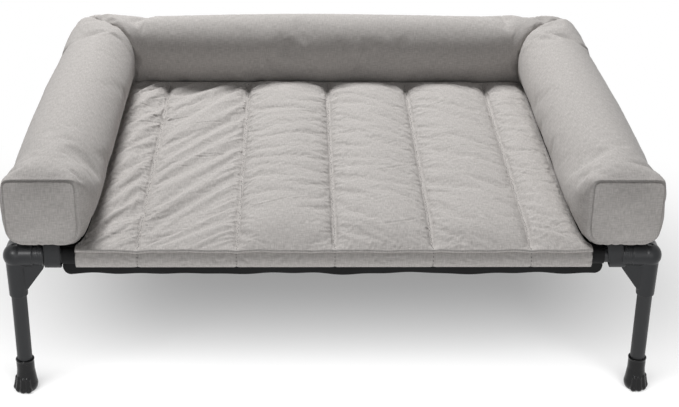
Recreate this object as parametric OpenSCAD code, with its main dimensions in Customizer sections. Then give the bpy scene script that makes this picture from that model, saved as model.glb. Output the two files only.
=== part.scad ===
// Raised pet cot: tube frame on plug-in legs, slung fabric panel, and a bolster pad on top.
// Millimetres, +Z up, front at -Y. The origin is on the floor, in the middle of the footprint.

/* [Frame] */
// Distance between the leg axes, side to side
frame_w = 785; // [600:5:1200]
// Distance between the leg axes, front to back
frame_d = 605; // [450:5:1000]
// Height of the rail axes above the floor
rail_h = 194; // [150:1:300]
// Outside diameter of the rail and leg tubes
tube_d = 19; // [16:0.5:25]
// Wall of the rail and leg tubes
tube_wall = 1.2; // [0.8:0.1:2]

/* [Corner fittings] */
// Wall of the moulded sockets around a tube
socket_wall = 3; // [2:0.25:5]
// Radial clearance of a tube in its socket
socket_clearance = 0.12; // [0.05:0.01:0.3]
// Solid wall between the ends of the sockets
core_wall = 3.4; // [2:0.2:6]
// Gap between the end of a tube and the end of its socket
tube_end_gap = 0.2; // [0.1:0.1:1]
// Reach of a rail socket from the leg axis
rail_socket_reach = 36; // [32:1:55]
// Reach of the leg socket below the rail axis
leg_socket_reach = 55; // [45:1:80]
// Wall of the leg socket at its mouth
mouth_wall = 1.9; // [1.5:0.1:4]
// Extra radius of the rounded outer corner over the sockets
corner_swell = 2.3; // [0:0.1:4]
// Reach of the raised collar on a rail socket from the leg axis
collar_reach = 22; // [18:1:30]
// Height of the raised collar above its socket
collar_step = 1.2; // [0.3:0.1:2]
// Number of grip ribs between the collar and the end of a rail socket
rib_count = 4; // [2:1:5]
// Height of a grip rib above its socket
rib_step = 0.6; // [0.3:0.1:1.2]
// Share of the ribs' spacing that a rib takes up
rib_share = 0.5; // [0.3:0.05:0.7]
// Thickness of the gusset webs
gusset_t = 12; // [6:1:18]
// Reach of a gusset along the rail socket from the leg axis
gusset_reach = 34; // [26:1:36]
// Height of the gusset's blunt end below the rail socket
gusset_lip = 4; // [1:0.5:8]
// Drop of a gusset below the rail axis
gusset_drop = 46; // [35:1:60]
// Diameter of the round moulding recess on top of the corner
recess_d = 7; // [3:0.5:10]
// Depth of the moulding recess
recess_depth = 1.4; // [0.5:0.1:3]

/* [Feet] */
// Height of the foot, floor to collar top
foot_h = 46; // [35:1:70]
// Thickness of the foot under the leg tube
foot_floor = 6; // [4:0.5:12]
// Wall of the foot's collar around the leg tube
foot_wall = 1.7; // [1.2:0.1:4]
// Radial clearance of the leg tube in the foot
foot_clearance = 0.1; // [0.05:0.05:0.3]
// Height of the rolled lip at the collar's top
foot_lip_h = 2; // [1:0.5:8]
// Extra radius of the rolled lip
foot_lip = 0.5; // [0.3:0.1:3]
// Height at which the boot stops flaring above the heel
flare_z = 30; // [27:1:34]
// Radius of the round heel of the paw
heel_r = 14; // [12.5:0.5:16]
// Height of the heel's centre above the floor
heel_z = 9; // [6:0.5:11]
// Number of toes
toe_count = 4; // [3:1:5]
// Radius of a toe's tip
toe_r = 4.8; // [4:0.2:6]
// Height of a toe tip's centre above the floor
toe_z = 5.2; // [5:0.2:7]
// Distance of the toe tips' centres from the leg axis
toe_reach = 12.8; // [8:0.2:16]
// Radius of a toe's knuckle
knuckle_r = 3.8; // [3:0.2:5]
// Height of the knuckles' centres above the floor
knuckle_z = 19; // [15:1:22]
// Distance of the knuckles' centres from the leg axis
knuckle_reach = 10.8; // [9:0.2:13]
// Angle between neighbouring toes
toe_spread = 30; // [20:1:36]
// Turn of the toes outwards from straight ahead
toe_turn = 30; // [0:5:45]

/* [Sling] */
// Thickness of the sling fabric
sling_t = 1.2; // [0.6:0.1:2.5]
// Radial ease of a sleeve on its rail
sleeve_ease = 0.3; // [0.1:0.1:1]
// Distance from a leg axis to the end of a sleeve
sleeve_inset = 58; // [54:1:90]
// Depth of the sewn hem that hangs under a rail
hem_drop = 15; // [6:0.5:30]
// Radius of the arc that rounds the ends of a hem
hem_end_r = 11; // [4:0.5:14]
// Gap between the panel and the sleeves it is sewn to
sewn_gap = 0.1; // [0.05:0.05:0.5]

/* [Straps] */
// Width of an elastic strap
strap_w = 19.5; // [10:0.5:20]
// Thickness of an elastic strap
strap_t = 1.5; // [0.8:0.1:3]
// Radial ease of a strap on its rail
strap_ease = 0.3; // [0.1:0.1:1]
// Drop of a strap's loop under its rail
strap_slack = 5; // [0:0.5:10]
// Gap between a strap's top and the bolster it is sewn under
strap_top_gap = 0.3; // [0.2:0.1:1]

/* [Bolsters] */
// Width of a bolster
bolster_w = 106; // [80:1:140]
// Height of a bolster before its underside is flattened
bolster_h = 106; // [80:1:140]
// Depth of the flat that a bolster's underside takes when it rests
bolster_flat = 3; // [2:0.5:6]
// Overhang of the bolsters past the side and back rail axes
bolster_overhang = 10.5; // [0:0.5:30]
// Reach of the bolsters' front ends past the front rail axis
bolster_front = 20; // [5:1:40]
// Boxiness of a bolster's section, where 2 is an ellipse
bolster_square = 2.6; // [2:0.1:4]
// Width of the boxed front end
end_w = 86; // [60:1:100]
// Height of the boxed front end
end_h = 80; // [60:1:100]
// Boxiness of the front end
end_square = 8; // [3:0.5:12]
// Rise of the front end's middle over the bolster's middle
end_rise = 7.5; // [0:0.5:10]
// Offset of the front end's middle to the outside of the bolster's middle
end_offset = 4; // [0:0.5:8]
// Bulge of the front end panel
end_bulge = 6; // [2:0.5:12]
// Length over which a bolster swells from its front end
end_ease = 95; // [40:5:160]
// Swell of a bolster halfway along
bolster_swell = 1.5; // [0:0.5:6]
// Length of the bend into a mitred corner
mitre_len = 75; // [70:1:120]
// Share of the outer half that rounding takes off a mitred corner
mitre_round = 0.22; // [0.1:0.01:0.35]
// Share of the section that the mitre seam draws in
mitre_pinch = 0.07; // [0:0.01:0.12]
// How sharply the mitre seam draws in, where more is sharper
mitre_sharpness = 8; // [4:1:12]
// Gap between two bolsters at a mitre
mitre_gap = 0.4; // [0.2:0.1:1]

/* [Mattress] */
// Distance between the sewn seams
seam_pitch = 120; // [80:5:160]
// Number of sewn seams
seam_count = 5; // [1:2:7]
// Thickness of the mattress at a seam
seam_t = 19; // [12:0.5:30]
// Rise of a channel's crown over its seams
channel_rise = 10; // [4:0.5:18]
// Fullness of a channel's section, where 1 is a plain wave and less is fuller
channel_fullness = 0.75; // [0.5:0.05:1]
// Thickness of the mattress along its edges
edge_t = 17; // [10:0.5:25]
// Length over which the mattress rises from its front and back edges
edge_ease = 80; // [40:5:140]
// Share of the width over which it rises from its sides
side_ease = 0.14; // [0.05:0.01:0.3]
// Gap between the mattress and the bolsters
mattress_gap = 1; // [0.5:0.1:3]
// Tuck of the mattress's underside below the bolsters
mattress_tuck = 9; // [0:1:12]
// Reach of the front border past the front rail axis
border_front = 28; // [20:1:45]
// Reach of the border's front face past the mattress at each side
border_reach = 7; // [0:0.5:8]
// Bulge of the front border
border_bulge = 3; // [1:0.5:6]
// Drop of the border's lower edge below the mattress's underside
border_drop = 13; // [6:0.5:20]
// Height of the border's front face
border_h = 24; // [14:0.5:40]
// Clearance of the border in front of the front rail's sleeve
border_clearance = 1.2; // [0.5:0.1:4]

/* [Pad covers] */
// Thickness of a cover with its backing
cover_t = 2; // [1:0.25:4]
// Gap between a cover and its filling
fill_gap = 0.3; // [0.2:0.1:1]
// Gap between the pad's underside and the sleeves that carry it
pad_gap = 0.3; // [0.1:0.1:1]

/* [Hidden] */
$fn = 64;
cut = 1;
black_steel = "#26272a";
black_plastic = "#2e2f31";
black_rubber = "#1c1c1d";
black_mesh = "#1f2022";
dark_webbing = "#3d3f42";
grey_cloth = "#b5b1ad";
white_fibre = "#eeece6";

// Frame
tube_r = tube_d / 2;
socket_bore_r = tube_r + socket_clearance;
socket_r = socket_bore_r + socket_wall;
mouth_r = socket_bore_r + mouth_wall;
core = socket_bore_r + core_wall;
rail_end = core + tube_end_gap;
leg_top_z = rail_h - rail_end;
front_reach = border_front + border_bulge;
back_reach = toe_r + toe_reach * max([for (i = [0:toe_count - 1]) cos(toe_turn + toe_angle(i))]);
front_y = front_reach - (front_reach + frame_d + back_reach) / 2;
back_y = front_y + frame_d;
side_x = frame_w / 2;
foot_bore_r = tube_r + foot_clearance;
foot_r = foot_bore_r + foot_wall;
sole_span = 4 * (toe_reach + toe_r + heel_r);
// Where the boot's flare leaves the round heel, as a tangent
flare_run = [foot_r, flare_z - heel_z];
flare_angle = atan2(flare_run.y, flare_run.x) - acos(heel_r / norm(flare_run));
// How far a bar or a flare stays under the round forms it joins
join_ease = 0.3;
flare_foot_r = heel_r * cos(flare_angle) - join_ease;
flare_foot_z = heel_z + heel_r * sin(flare_angle);
rib_pitch = (rail_socket_reach - collar_reach) / (rib_count + 1);

// Sling and straps
sleeve_bore_r = tube_r + sleeve_ease;
sleeve_r = sleeve_bore_r + sling_t;
hem_reach = tube_r + hem_drop;
strap_bore_r = tube_r + strap_ease;
strap_r = strap_bore_r + strap_t;
strap_x = side_x - (rail_socket_reach + sleeve_inset) / 2;

// Bolsters: s runs along a bolster from its front end, q across it towards the outside
pad_z = rail_h + sleeve_r + pad_gap;
mid_z = pad_z + bolster_h / 2 - bolster_flat;
bolster_x = side_x + bolster_overhang - bolster_w / 2;
bolster_y0 = front_y - bolster_front;
bolster_back_y = back_y + bolster_overhang - bolster_w / 2;
side_len = bolster_back_y - bolster_y0;
section_points = 22;
section_turn = 360 / section_points;
// Extra depth of an inset where a face is slanted
slant = 1.5;

// Mattress
cells_per_channel = 4;
half_seams = (seam_count - 1) / 2;
last_seam_x = half_seams * seam_pitch;
column_count = 2 * cells_per_channel * (half_seams + 1);
mattress_front_y = front_y - sleeve_r - border_clearance;
mattress_back_y = bolster_back_y - flank(side_len / 2, pad_z + edge_t) - mattress_gap;
under_half_width = top_half_width(0) + mattress_tuck;
border_half = top_half_width(mattress_front_y);
border_low_z = pad_z - border_drop;
border_trim = border_h / 4;

function toe_angle(i) = (i - (toe_count - 1) / 2) * toe_spread;
function bend(t) = sqrt(max(0, 1 - pow(1 - min(max(t, 0), 1), 2)));
function blend(a, b, t) = a + (b - a) * t;
function signed_power(v, p) = sign(v) * pow(abs(v), p);

// Front-end ease and half-sizes of a bolster's section
function end_share(s) = bend(s / end_ease);
function half_w(s, inset) = blend(end_w, bolster_w, end_share(s)) / 2
    + bolster_swell * sin(180 * min(max(s / side_len, 0), 1)) - inset;
function half_h(s, inset) = blend(end_h, bolster_h, end_share(s)) / 2 - inset;
function squareness(s) = blend(end_square, bolster_square, end_share(s));
function middle_z(s) = mid_z + end_rise * (1 - end_share(s));
function middle_q(s) = end_offset * (1 - end_share(s));
function flank(s, z) = half_w(s, 0)
    * pow(max(0, 1 - pow(abs(z - middle_z(s)) / half_h(s, 0), squareness(s))), 1 / squareness(s));
function underside(s, q) = max(pad_z, middle_z(s) - half_h(s, 0)
    * pow(max(0, 1 - pow(abs(q) / half_w(s, 0), squareness(s))), 1 / squareness(s)));

// One ring of a bolster as [along, across, height], drawn in by a scale about its middle
function ring(s, form_s, lean_s, inset, scale) = [
    for (k = [0:section_points - 1])
    let (
        a = k * section_turn,
        p = 2 / squareness(form_s),
        pinch = scale * (1 - mitre_pinch * pow(abs(lean_s), mitre_sharpness)),
        across = pinch * half_w(form_s, inset) * signed_power(cos(a), p),
        rounded = across > 0 ? across * (1 - mitre_round * lean_s * lean_s) : across,
        up = middle_z(form_s) + pinch * half_h(form_s, inset) * signed_power(sin(a), p)
    )
    [s + lean_s * rounded, rounded + middle_q(form_s), max(up, pad_z + inset)]
];

// Stations along a bolster, from its boxed front end to a mitre
end_steps = [0, 0.08, 0.3, 0.65, 1];
mitre_steps = [0, 0.35, 0.62, 0.82, 0.93, 1];
cap_scales = [0.45, 0.85];

function side_rings(inset) = let (tip = side_len - mitre_gap - slant * inset) concat(
    [for (c = cap_scales) ring(-end_bulge * (1 - c * c) + inset, 0, 0, inset, c)],
    [for (e = end_steps) ring(e * end_ease + (1 - e) * inset, e * end_ease, 0, inset, 1)],
    [ring((end_ease + side_len - mitre_len) / 2, side_len / 2, 0, inset, 1)],
    [for (m = mitre_steps) ring(tip - (1 - m) * mitre_len, side_len / 2, m, inset, 1)]
);

function back_rings(inset) = let (tip = bolster_x - mitre_gap - slant * inset) concat(
    [for (m = [len(mitre_steps) - 1:-1:0])
        let (t = mitre_steps[m]) ring(-tip + (1 - t) * mitre_len, side_len / 2, -t, inset, 1)],
    [ring(0, side_len / 2, 0, inset, 1)],
    [for (t = mitre_steps) ring(tip - (1 - t) * mitre_len, side_len / 2, t, inset, 1)]
);

function middle_of(points) = [for (i = [0:2]) [for (p = points) p[i]] * [for (p = points) 1] / len(points)];

// Closed solid through a row of rings, each end closed by a fan about the ring's middle
module ringed_solid(rings) {
    n = len(rings[0]);
    last = len(rings) - 1;
    points = concat([for (r = rings) for (p = r) p], [middle_of(rings[0]), middle_of(rings[last])]);
    sides = [
        for (j = [0:last - 1]) for (k = [0:n - 1])
        let (a = j * n + k, b = j * n + (k + 1) % n)
        each [[a, b + n, b], [a, a + n, b + n]]
    ];
    first_fan = [for (k = [0:n - 1]) [k, (k + 1) % n, n * (last + 1)]];
    last_fan = [for (k = [0:n - 1]) [last * n + (k + 1) % n, last * n + k, n * (last + 1) + 1]];
    polyhedron(points = points, faces = concat(sides, first_fan, last_fan));
}

module side_bolster_form(inset) {
    rings = [for (r = side_rings(inset)) [for (p = r) [-bolster_x - p[1], bolster_y0 + p[0], p[2]]]];
    ringed_solid(rings);
}

module back_bolster_form(inset) {
    rings = [for (r = back_rings(inset)) [for (p = r) [p[0], bolster_back_y + p[1], p[2]]]];
    ringed_solid(rings);
}

// Mattress: columns across the channels, from the left edge to the right
function channel_wave(x) = pow(abs(sin(180 * (x / seam_pitch + half_seams))), channel_fullness);
function top_half_width(y) = let (s = y - bolster_y0)
    bolster_x - flank(s, pad_z + edge_t) + middle_q(s) - mattress_gap;
function column_x(i, half) =
    let (k = abs(i - column_count / 2) / cells_per_channel)
    (i < column_count / 2 ? -1 : 1)
    * (k <= half_seams ? k * seam_pitch : blend(last_seam_x, half, k - half_seams));
function front_share(y) = bend((y - front_y + border_front) / edge_ease);
function back_share(y) = bend((mattress_back_y - y) / edge_ease);
function side_share(x, half) = bend((half - abs(x)) / (half * side_ease));
function top_z(x, y, half) = blend(border_low_z + border_h, pad_z + edge_t, front_share(y))
    + front_share(y) * back_share(y) * side_share(x, half)
    * (seam_t - edge_t + channel_rise * channel_wave(x));

// One cross-section of the mattress: top columns from left to right, then the underside
function mattress_ring(t, inset) = let (
        y = blend(mattress_front_y, mattress_back_y, t),
        under_y = blend(mattress_front_y, mattress_back_y + mattress_tuck, t),
        inward = blend(inset, -inset, t),
        half = top_half_width(y),
        under_half = max(half, under_half_width)
    ) concat(
        [for (i = [0:column_count]) let (x = column_x(i, half))
            [x * (half - inset) / half, y + inward, top_z(x, y, half) - slant * inset]],
        [for (i = [column_count:-1:0]) let (x = column_x(i, under_half))
            [x * (under_half - inset) / under_half, under_y + inward, pad_z + inset]]
    );
mattress_rows = [0, 0.05, 0.14, 0.32, 0.5, 0.68, 0.86, 0.95, 1];
function mattress_rings(inset) = [for (t = mattress_rows) mattress_ring(t, inset)];

// Closed solid through cross-sections that each run along a top and back along an underside
module slab_solid(rings) {
    n = len(rings[0]);
    last = len(rings) - 1;
    points = [for (r = rings) for (p = r) p];
    sides = [
        for (j = [0:last - 1]) for (k = [0:n - 1])
        let (a = j * n + k, b = j * n + (k + 1) % n)
        each [[a, b + n, b], [a, a + n, b + n]]
    ];
    first_face = [
        for (k = [0:n / 2 - 2])
        let (a = k, b = k + 1, c = n - 2 - k, d = n - 1 - k)
        each [[a, b, c], [a, c, d]]
    ];
    last_face = [for (f = first_face) [f[0] + last * n, f[2] + last * n, f[1] + last * n]];
    polyhedron(points = points, faces = concat(sides, first_face, last_face));
}

// Front border: the padded edge that hangs over the front rail
function border_ring(y, half, trim) = let (lip_y = front_y - border_front) concat(
    [for (i = [0:column_count]) let (x = column_x(i, half))
        [x, y, top_z(x, max(y, lip_y), half) - trim]],
    [for (i = [column_count:-1:0]) [column_x(i, half), y, border_low_z + trim]]
);
function border_rings() = [
    border_ring(front_y - border_front - border_bulge, border_half + border_reach, border_trim),
    border_ring(front_y - border_front, border_half + border_reach, 0),
    border_ring((front_y - border_front + mattress_front_y) / 2, border_half + border_reach, 0),
    border_ring(mattress_front_y - pad_gap, border_half, 0)
];

module tube(length) {
    difference() {
        cylinder(r = tube_r, h = length);
        translate([0, 0, -cut]) cylinder(r = tube_r - tube_wall, h = length + 2 * cut);
    }
}

module cross_rail(y) {
    color(black_steel)
    translate([-side_x + rail_end, y, rail_h]) rotate([0, 90, 0]) tube(frame_w - 2 * rail_end);
}

module side_rail(x) {
    color(black_steel)
    translate([x, front_y + rail_end, rail_h]) rotate([-90, 0, 0]) tube(frame_d - 2 * rail_end);
}

// Puts a piece made for the front left corner at another corner
module at_corner(side, end) {
    mirror([side > 0 ? 1 : 0, 0, 0])
    translate([-side_x, end < 0 ? front_y : back_y, 0])
    mirror([0, end > 0 ? 1 : 0, 0])
    children();
}

module rail_socket() {
    rotate([0, 90, 0]) cylinder(r = socket_r, h = rail_socket_reach);
    rotate([0, 90, 0]) cylinder(r = socket_r + collar_step, h = collar_reach);
    for (i = [1:rib_count])
        translate([collar_reach + i * rib_pitch, 0, 0]) rotate([0, 90, 0])
        cylinder(r = socket_r + rib_step, h = rib_share * rib_pitch, center = true);
    rotate([90, 0, 0]) linear_extrude(gusset_t, center = true) polygon([
        [0, 0],
        [gusset_reach, 0],
        [gusset_reach, -socket_r - gusset_lip],
        [socket_r, -gusset_drop],
        [0, -gusset_drop]
    ]);
}

module rail_socket_bore() {
    translate([core, 0, 0]) rotate([0, 90, 0]) cylinder(r = socket_bore_r, h = rail_socket_reach);
}

module corner_fitting(side, end) {
    color(black_plastic)
    at_corner(side, end) translate([0, 0, rail_h]) difference() {
        union() {
            sphere(r = socket_r + corner_swell);
            rail_socket();
            mirror([1, -1, 0]) rail_socket();
            translate([0, 0, -leg_socket_reach]) cylinder(r1 = mouth_r, r2 = socket_r, h = leg_socket_reach);
        }
        rail_socket_bore();
        mirror([1, -1, 0]) rail_socket_bore();
        translate([0, 0, -core - leg_socket_reach]) cylinder(r = socket_bore_r, h = leg_socket_reach);
        translate([0, 0, socket_r + corner_swell - recess_depth])
            cylinder(d = recess_d, h = recess_depth + cut);
    }
}

module leg(side, end) {
    color(black_steel)
    at_corner(side, end) translate([0, 0, foot_floor]) tube(leg_top_z - foot_floor);
}

// The boot: a round heel, a flare up to the collar and a lip round its mouth
module boot() {
    translate([0, 0, heel_z]) sphere(r = heel_r);
    translate([0, 0, flare_foot_z]) {
        cylinder(r1 = flare_foot_r, r2 = foot_r, h = flare_z - flare_foot_z);
        cylinder(r = foot_r, h = foot_h - flare_foot_z);
    }
    translate([0, 0, foot_h - foot_lip_h]) cylinder(r = foot_r + foot_lip, h = foot_lip_h);
}

// A toe is a bar from its tip on the floor up to its knuckle
module toe() {
    run = [knuckle_reach - toe_reach, knuckle_z - toe_z];
    translate([toe_reach, 0, toe_z]) {
        sphere(r = toe_r);
        rotate([0, atan2(run.x, run.y), 0])
        cylinder(r1 = toe_r - join_ease, r2 = knuckle_r - join_ease, h = norm(run));
    }
    translate([knuckle_reach, 0, knuckle_z]) sphere(r = knuckle_r);
}

// The toes point ahead and a little out of the corner, and the sole is cut flat
module paw_foot(side, end) {
    color(black_rubber)
    at_corner(side, end) rotate([0, 0, -90 - toe_turn]) difference() {
        intersection() {
            union() {
                boot();
                for (i = [0:toe_count - 1])
                    rotate([0, 0, toe_angle(i)]) toe();
            }
            translate([0, 0, foot_h / 2]) cube([sole_span, sole_span, foot_h], center = true);
        }
        translate([0, 0, foot_floor - tube_end_gap]) cylinder(r = foot_bore_r, h = foot_h);
    }
}

module panel() {
    color(black_mesh) difference() {
        translate([-side_x, front_y, rail_h + sleeve_r - sling_t]) cube([frame_w, frame_d, sling_t]);
        for (y = [front_y, back_y])
            translate([0, y, rail_h]) rotate([0, 90, 0])
            cylinder(r = sleeve_r + sewn_gap, h = frame_w + 2 * cut, center = true);
        for (x = [-side_x, side_x])
            translate([x, front_y - cut, rail_h]) rotate([-90, 0, 0])
            cylinder(r = sleeve_r + sewn_gap, h = frame_d + 2 * cut);
        for (x = [-side_x, side_x]) for (y = [front_y, back_y])
            translate([x, y, rail_h]) cylinder(r = sleeve_inset, h = 2 * sleeve_r);
    }
}

// A sleeve along X with the hem under it, its ends rounded up
module sleeve(length) {
    color(black_mesh) difference() {
        rotate([90, 0, 90]) linear_extrude(length, center = true) difference() {
            union() {
                circle(r = sleeve_r);
                translate([-sling_t, -hem_reach]) square([2 * sling_t, hem_reach]);
            }
            circle(r = sleeve_bore_r);
        }
        for (x = [-length / 2, length / 2])
            translate([x, 0, -hem_reach]) rotate([90, 0, 0])
            cylinder(r = hem_end_r, h = 2 * sleeve_r, center = true);
    }
}

module cross_sleeve(y) {
    translate([0, y, rail_h]) sleeve(frame_w - 2 * sleeve_inset);
}

module side_sleeve(x) {
    translate([x, (front_y + back_y) / 2, rail_h]) rotate([0, 0, 90]) sleeve(frame_d - 2 * sleeve_inset);
}

// A strap hangs from the bolster above it in a slack loop under the rail
module strap(x, y, near_top, far_top) {
    turn_z = rail_h - strap_slack;
    color(dark_webbing)
    translate([x, y, turn_z]) rotate([90, 0, 90]) linear_extrude(strap_w, center = true) {
        difference() {
            circle(r = strap_r);
            circle(r = strap_bore_r);
            translate([-2 * strap_r, 0]) square([4 * strap_r, 2 * strap_r]);
        }
        translate([-strap_r, 0]) square([strap_t, near_top - turn_z]);
        translate([strap_bore_r, 0]) square([strap_t, far_top - turn_z]);
    }
}

module front_strap(side) {
    near = underside(bolster_front - strap_r, 0) - strap_top_gap;
    far = underside(bolster_front + strap_bore_r, 0) - strap_top_gap;
    strap(side * strap_x, front_y, near, far);
}

module back_strap(side) {
    top = pad_z - strap_top_gap;
    strap(side * strap_x, back_y, top, top);
}

module bolster_cover(side) {
    color(grey_cloth) mirror([side > 0 ? 1 : 0, 0, 0]) difference() {
        side_bolster_form(0);
        side_bolster_form(cover_t);
    }
}

module bolster_fill(side) {
    color(white_fibre) mirror([side > 0 ? 1 : 0, 0, 0]) side_bolster_form(cover_t + fill_gap);
}

module back_bolster_cover() {
    color(grey_cloth) difference() {
        back_bolster_form(0);
        back_bolster_form(cover_t);
    }
}

module back_bolster_filling() {
    color(white_fibre) back_bolster_form(cover_t + fill_gap);
}

module mattress_cover() {
    color(grey_cloth) difference() {
        slab_solid(mattress_rings(0));
        slab_solid(mattress_rings(cover_t));
    }
}

module mattress_filling() {
    color(white_fibre) slab_solid(mattress_rings(cover_t + fill_gap));
}

module border() {
    color(grey_cloth) slab_solid(border_rings());
}

cross_rail(front_y);  // front_rail
cross_rail(back_y);  // back_rail
side_rail(-side_x);  // left_rail
side_rail(side_x);  // right_rail
corner_fitting(-1, -1);  // front_left_corner
corner_fitting(1, -1);  // front_right_corner
corner_fitting(-1, 1);  // back_left_corner
corner_fitting(1, 1);  // back_right_corner
leg(-1, -1);  // front_left_leg
leg(1, -1);  // front_right_leg
leg(-1, 1);  // back_left_leg
leg(1, 1);  // back_right_leg
paw_foot(-1, -1);  // front_left_foot
paw_foot(1, -1);  // front_right_foot
paw_foot(-1, 1);  // back_left_foot
paw_foot(1, 1);  // back_right_foot
panel();  // sling_panel
cross_sleeve(front_y);  // front_sleeve
cross_sleeve(back_y);  // back_sleeve
side_sleeve(-side_x);  // left_sleeve
side_sleeve(side_x);  // right_sleeve
bolster_cover(-1);  // left_bolster
back_bolster_cover();  // back_bolster
bolster_cover(1);  // right_bolster
bolster_fill(-1);  // left_bolster_fill
back_bolster_filling();  // back_bolster_fill
bolster_fill(1);  // right_bolster_fill
mattress_cover();  // mattress
mattress_filling();  // mattress_fill
border();  // front_border
front_strap(-1);  // front_left_strap
front_strap(1);  // front_right_strap
back_strap(-1);  // back_left_strap
back_strap(1);  // back_right_strap
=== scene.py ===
import math

import bmesh
import bpy
import numpy as np
from mathutils import Matrix, Vector


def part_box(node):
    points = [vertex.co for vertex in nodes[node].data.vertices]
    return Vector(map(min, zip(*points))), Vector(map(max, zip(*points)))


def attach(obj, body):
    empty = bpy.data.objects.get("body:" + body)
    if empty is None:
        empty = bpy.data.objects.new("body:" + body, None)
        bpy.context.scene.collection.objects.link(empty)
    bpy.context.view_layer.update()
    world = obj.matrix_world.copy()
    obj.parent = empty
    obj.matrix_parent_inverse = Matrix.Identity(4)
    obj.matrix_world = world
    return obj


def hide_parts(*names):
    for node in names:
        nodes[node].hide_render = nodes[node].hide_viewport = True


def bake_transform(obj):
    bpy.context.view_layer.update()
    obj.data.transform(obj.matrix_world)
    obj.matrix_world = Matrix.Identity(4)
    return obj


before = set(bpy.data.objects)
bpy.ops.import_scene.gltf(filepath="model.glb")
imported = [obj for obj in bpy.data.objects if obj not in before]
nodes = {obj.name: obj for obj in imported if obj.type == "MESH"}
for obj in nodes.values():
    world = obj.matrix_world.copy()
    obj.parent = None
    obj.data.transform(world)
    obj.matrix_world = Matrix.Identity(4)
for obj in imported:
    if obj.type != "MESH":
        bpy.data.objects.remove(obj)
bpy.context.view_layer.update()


# Camera: a level product view from above the front edge, with a long lens.
# It stands a little to the left of the middle and is turned and tilted by a degree or two.
PHOTO_WIDTH_PX = 679
FOCAL_LENGTH_PX = 1464
SENSOR_MM = 36.0
CAMERA_PLACE = Vector((-0.0468, -1.8950, 1.0454))
CAMERA_PITCH = math.radians(26.01)
CAMERA_YAW = math.radians(1.87)
CAMERA_ROLL = math.radians(-0.84)

camera_data = bpy.data.cameras.new("camera")
camera_data.sensor_fit = "HORIZONTAL"
camera_data.sensor_width = SENSOR_MM
camera_data.lens = FOCAL_LENGTH_PX / PHOTO_WIDTH_PX * SENSOR_MM
camera = bpy.data.objects.new("camera", camera_data)
bpy.context.scene.collection.objects.link(camera)
forward = Vector((
    math.sin(CAMERA_YAW) * math.cos(CAMERA_PITCH),
    math.cos(CAMERA_YAW) * math.cos(CAMERA_PITCH),
    -math.sin(CAMERA_PITCH),
))
level = Vector((math.cos(CAMERA_YAW), -math.sin(CAMERA_YAW), 0))
down = forward.cross(level)
right = math.cos(CAMERA_ROLL) * level + math.sin(CAMERA_ROLL) * down
up = math.sin(CAMERA_ROLL) * level - math.cos(CAMERA_ROLL) * down
facing = Matrix((right, up, -forward)).transposed().to_4x4()
camera.matrix_world = Matrix.Translation(CAMERA_PLACE) @ facing
bpy.context.scene.camera = camera
bpy.context.scene.view_settings.view_transform = "Standard"


# Floor and light: a white sweep under soft lamps, as in a product studio.
# One lamp lights the floor alone, for a wide pale shadow, and the floor fades to white further out.
# A small lamp over the camera lights the black fittings and feet alone, for their highlights.
FLOOR_SIZE = 14.0
FLOOR_WHITE = "#CCCCCC"
FLOOR_LIFT = 0.31
FADE_CENTRE = (0, -0.3, 0)
FADE_START, FADE_END = 0.5, 0.95
SKY_STRENGTH = 0.12
LAMP_AIM = Vector((0, 0, 0.2))
LAMPS = {
    "key_lamp": {"place": (-0.8, 2.2, 3.6), "size": (1.2, 1.2), "watts": 198, "floor": "EXCLUDE"},
    "front_lamp": {"place": (0.4, -3.0, 1.1), "size": (2.0, 1.6), "watts": 14, "floor": "EXCLUDE"},
    "floor_lamp": {"place": (-0.35, -1.9, 2.1), "size": (4.4, 1.8), "watts": 165, "floor": "INCLUDE"},
    "gloss_lamp": {"place": (-1.0, -2.1, 2.1), "size": (1.0, 0.35), "watts": 38, "floor": None},
}


def linear(hex_colour):
    """A colour written as sRGB hex, as linear RGBA."""
    parts = [int(hex_colour[i:i + 2], 16) / 255 for i in (1, 3, 5)]
    return [c / 12.92 if c <= 0.04045 else ((c + 0.055) / 1.055) ** 2.4 for c in parts] + [1.0]


def add_node(tree, kind, inputs=None, **settings):
    """Adds a node with its settings. An input is a value, or the output socket that feeds it."""
    made = tree.nodes.new(kind)
    for name, value in settings.items():
        setattr(made, name, value)
    for name, value in (inputs or {}).items():
        if isinstance(value, bpy.types.NodeSocket):
            tree.links.new(value, made.inputs[name])
        else:
            made.inputs[name].default_value = value
    return made


def new_material(name):
    """An empty node material: the material and its tree."""
    material = bpy.data.materials.new(name)
    material.use_nodes = True
    material.node_tree.nodes.clear()
    return material, material.node_tree


def link_piece(name, mesh):
    """An object at the origin that shows a mesh."""
    piece = bpy.data.objects.new(name, mesh)
    bpy.context.scene.collection.objects.link(piece)
    return piece


def seen_rays(tree):
    """1 for the rays that show the background: from the camera, off gloss and through glass."""
    rays = add_node(tree, "ShaderNodeLightPath").outputs
    seen = add_node(tree, "ShaderNodeMath", {0: rays["Is Camera Ray"], 1: rays["Is Glossy Ray"]},
                    operation="MAXIMUM")
    return add_node(tree, "ShaderNodeMath", {0: seen.outputs[0], 1: rays["Is Transmission Ray"]},
                    operation="MAXIMUM").outputs[0]


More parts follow.
